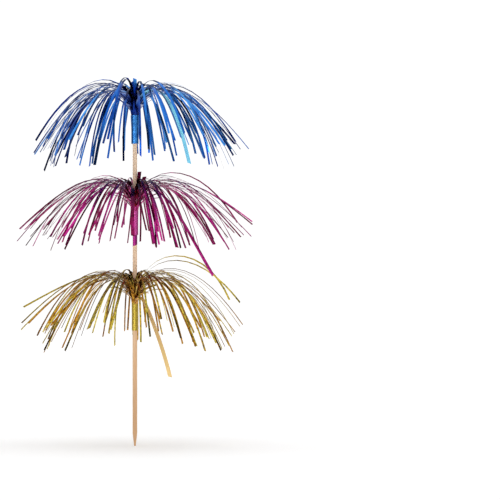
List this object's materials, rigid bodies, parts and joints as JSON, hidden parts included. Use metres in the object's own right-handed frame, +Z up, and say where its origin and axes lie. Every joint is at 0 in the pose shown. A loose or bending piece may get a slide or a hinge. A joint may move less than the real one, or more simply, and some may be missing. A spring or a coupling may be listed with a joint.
{
  "type": "firework drink pick",
  "caption": "Pointed wooden drink pick with bursts of drooping slit metallised film wound on at intervals along the stick.",
  "frame": {"origin": "on the stick's axis at the shoulder, where the straight shank ends and the sharpened point begins", "axes": "+Z up the stick towards the top burst, +X to the right in the picture's view, -Y towards the viewer"},
  "size_m": [0.1512, 0.1583, 0.2353],
  "materials": {
    "birch": "turned, unvarnished",
    "tape": "clear tacky tape",
    "gold_film": "mirror-bright metallised polyester film",
    "magenta_film": "mirror-bright metallised polyester film",
    "blue_film": "mirror-bright metallised polyester film"
  },
  "bodies": {
    "root": {"stick": "birch", "gold_tape": "tape", "gold_inner_fringe": "gold_film", "gold_outer_fringe": "gold_film", "gold_collar_wrap": "gold_film", "magenta_tape": "tape", "magenta_inner_fringe": "magenta_film", "magenta_outer_fringe": "magenta_film", "magenta_collar_wrap": "magenta_film", "blue_tape": "tape", "blue_inner_fringe": "blue_film", "blue_outer_fringe": "blue_film", "blue_collar_wrap": "blue_film"}
  },
  "joints": []
}
